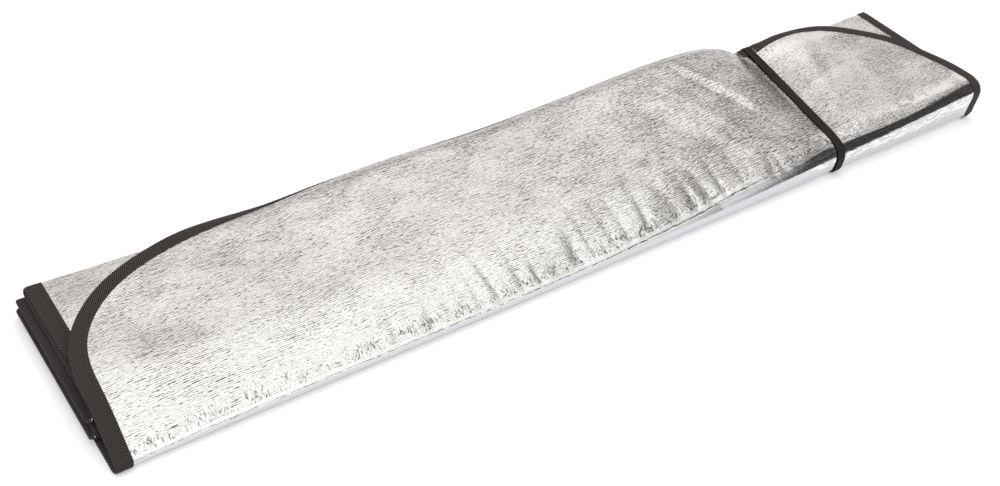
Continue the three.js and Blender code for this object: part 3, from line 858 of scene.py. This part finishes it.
class SUNSHADE_OT_stage(bpy.types.Operator):
    """Set the floor, the soft studio light and the camera"""

    bl_idname = "sunshade.stage"
    bl_label = "Stage"

    def execute(self, context):
        scene = context.scene
        settings = scene.sunshade.stage
        scene.view_settings.view_transform = "Standard"
        bpy.ops.object.select_all(action="DESELECT")
        bpy.ops.mesh.primitive_plane_add(size=FLOOR_SIZE, location=(0, 0, 0))
        floor = context.active_object
        floor.name = "floor"
        floor.data.materials.append(self.floor_material(settings))
        self.sky(scene)
        self.lamp(scene)
        data = bpy.data.cameras.new("camera")
        data.lens = CAMERA_LENS
        data.clip_start = 0.01
        camera = bpy.data.objects.new("camera", data)
        camera.location = CAMERA_PLACE
        camera.rotation_euler = Euler([math.radians(a) for a in CAMERA_TURN])
        scene.collection.objects.link(camera)
        scene.camera = camera
        return {"FINISHED"}

    def floor_material(self, settings):
        """Plain pale paper; what the camera and the foil see of it is lifted towards white."""
        material, tree = new_material("pale_paper_floor")
        paper = node(tree, "BsdfPrincipled", links={"Base Color": (*settings.floor, 1), "Roughness": 0.9})
        rays = node(tree, "LightPath").outputs
        seen = rays["Is Camera Ray"]
        for kind in ("Is Glossy Ray", "Is Transmission Ray"):
            seen = node(tree, "Math", {"operation": "ADD", "use_clamp": True}, {0: seen, 1: rays[kind]})
        glow = node(tree, "Math", MULTIPLY, {0: seen, 1: FLOOR_GLOW})
        light = node(tree, "Emission", links={"Color": (1, 1, 1, 1), "Strength": glow})
        both = node(tree, "AddShader", links={0: paper, 1: light})
        node(tree, "OutputMaterial", links={"Surface": both})
        return material

    def sky(self, scene):
        """A studio tent, bright above, for the foil to reflect."""
        world = bpy.data.worlds.new("studio")
        world.use_nodes = True
        scene.world = world
        tree = world.node_tree
        tree.nodes.clear()
        way = node(tree, "TexCoord").outputs["Generated"]
        way = node(tree, "SeparateXYZ", links={"Vector": way}).outputs
        seen = node(tree, "ValToRGB", links={"Fac": way["Z"]}, stops=TENT).outputs["Color"]
        for wall, *limits in WALLS:
            share = 1.0
            for choices in limits:
                most = 0.0
                for axis, none, full in choices:
                    part = node(tree, "MapRange", SMOOTH, {
                        "Value": way[axis], "From Min": none, "From Max": full})
                    most = node(tree, "Math", MAXIMUM, {0: most, 1: part})
                share = node(tree, "Math", MULTIPLY, {0: share, 1: most})
            seen = node(tree, "Mix", {"data_type": "RGBA"}, {
                "Factor": share, 6: seen, 7: (*wall, 1.0)}).outputs[2]
        back = node(tree, "Background", links={"Color": seen, "Strength": TENT_STRENGTH})
        node(tree, "OutputWorld", links={"Surface": back})

    def lamp(self, scene):
        """A soft lamp above and behind, turned to the sunshade."""
        data = bpy.data.lights.new("overhead", "AREA")
        data.shape = "SQUARE"
        data.size = LAMP_SIZE
        data.energy = LAMP_POWER
        lamp = bpy.data.objects.new("overhead", data)
        lamp.location = LAMP_PLACE
        x, y, z = LAMP_PLACE
        lamp.rotation_euler = (math.atan2(math.hypot(x, y), z), 0, math.atan2(-y, -x) - math.pi / 2)
        lamp.visible_glossy = False
        scene.collection.objects.link(lamp)


STEPS = (SUNSHADE_OT_stage, SUNSHADE_OT_foil_sheet, SUNSHADE_OT_edge_tape, SUNSHADE_OT_stitching,
         SUNSHADE_OT_elastic_strap)


class SUNSHADE_PT_panel(bpy.types.Panel):
    """The sunshade's pieces"""

    bl_label = "Sunshade"
    bl_idname = "SUNSHADE_PT_panel"
    bl_space_type = "VIEW_3D"
    bl_region_type = "UI"
    bl_category = "Sunshade"

    def draw(self, context):
        settings = context.scene.sunshade
        for group in (settings.sheet, settings.tape, settings.strap, settings.stage):
            box = self.layout.box()
            for name in group.bl_rna.properties.keys():
                if name not in ("rna_type", "name"):
                    box.prop(group, name)
        for step in STEPS:
            self.layout.operator(step.bl_idname)


CLASSES = (SheetSettings, TapeSettings, StrapSettings, StageSettings, SunshadeSettings, *STEPS, SUNSHADE_PT_panel)


def register():
    for item in CLASSES:
        bpy.utils.register_class(item)
    bpy.types.Scene.sunshade = PointerProperty(type=SunshadeSettings)


def unregister():
    del bpy.types.Scene.sunshade
    for item in reversed(CLASSES):
        bpy.utils.unregister_class(item)


def main():
    register()
    bpy.ops.sunshade.stage()
    bpy.ops.sunshade.foil_sheet()
    bpy.ops.sunshade.edge_tape()
    bpy.ops.sunshade.stitching()
    bpy.ops.sunshade.elastic_strap()


if __name__ == "__main__":
    main()
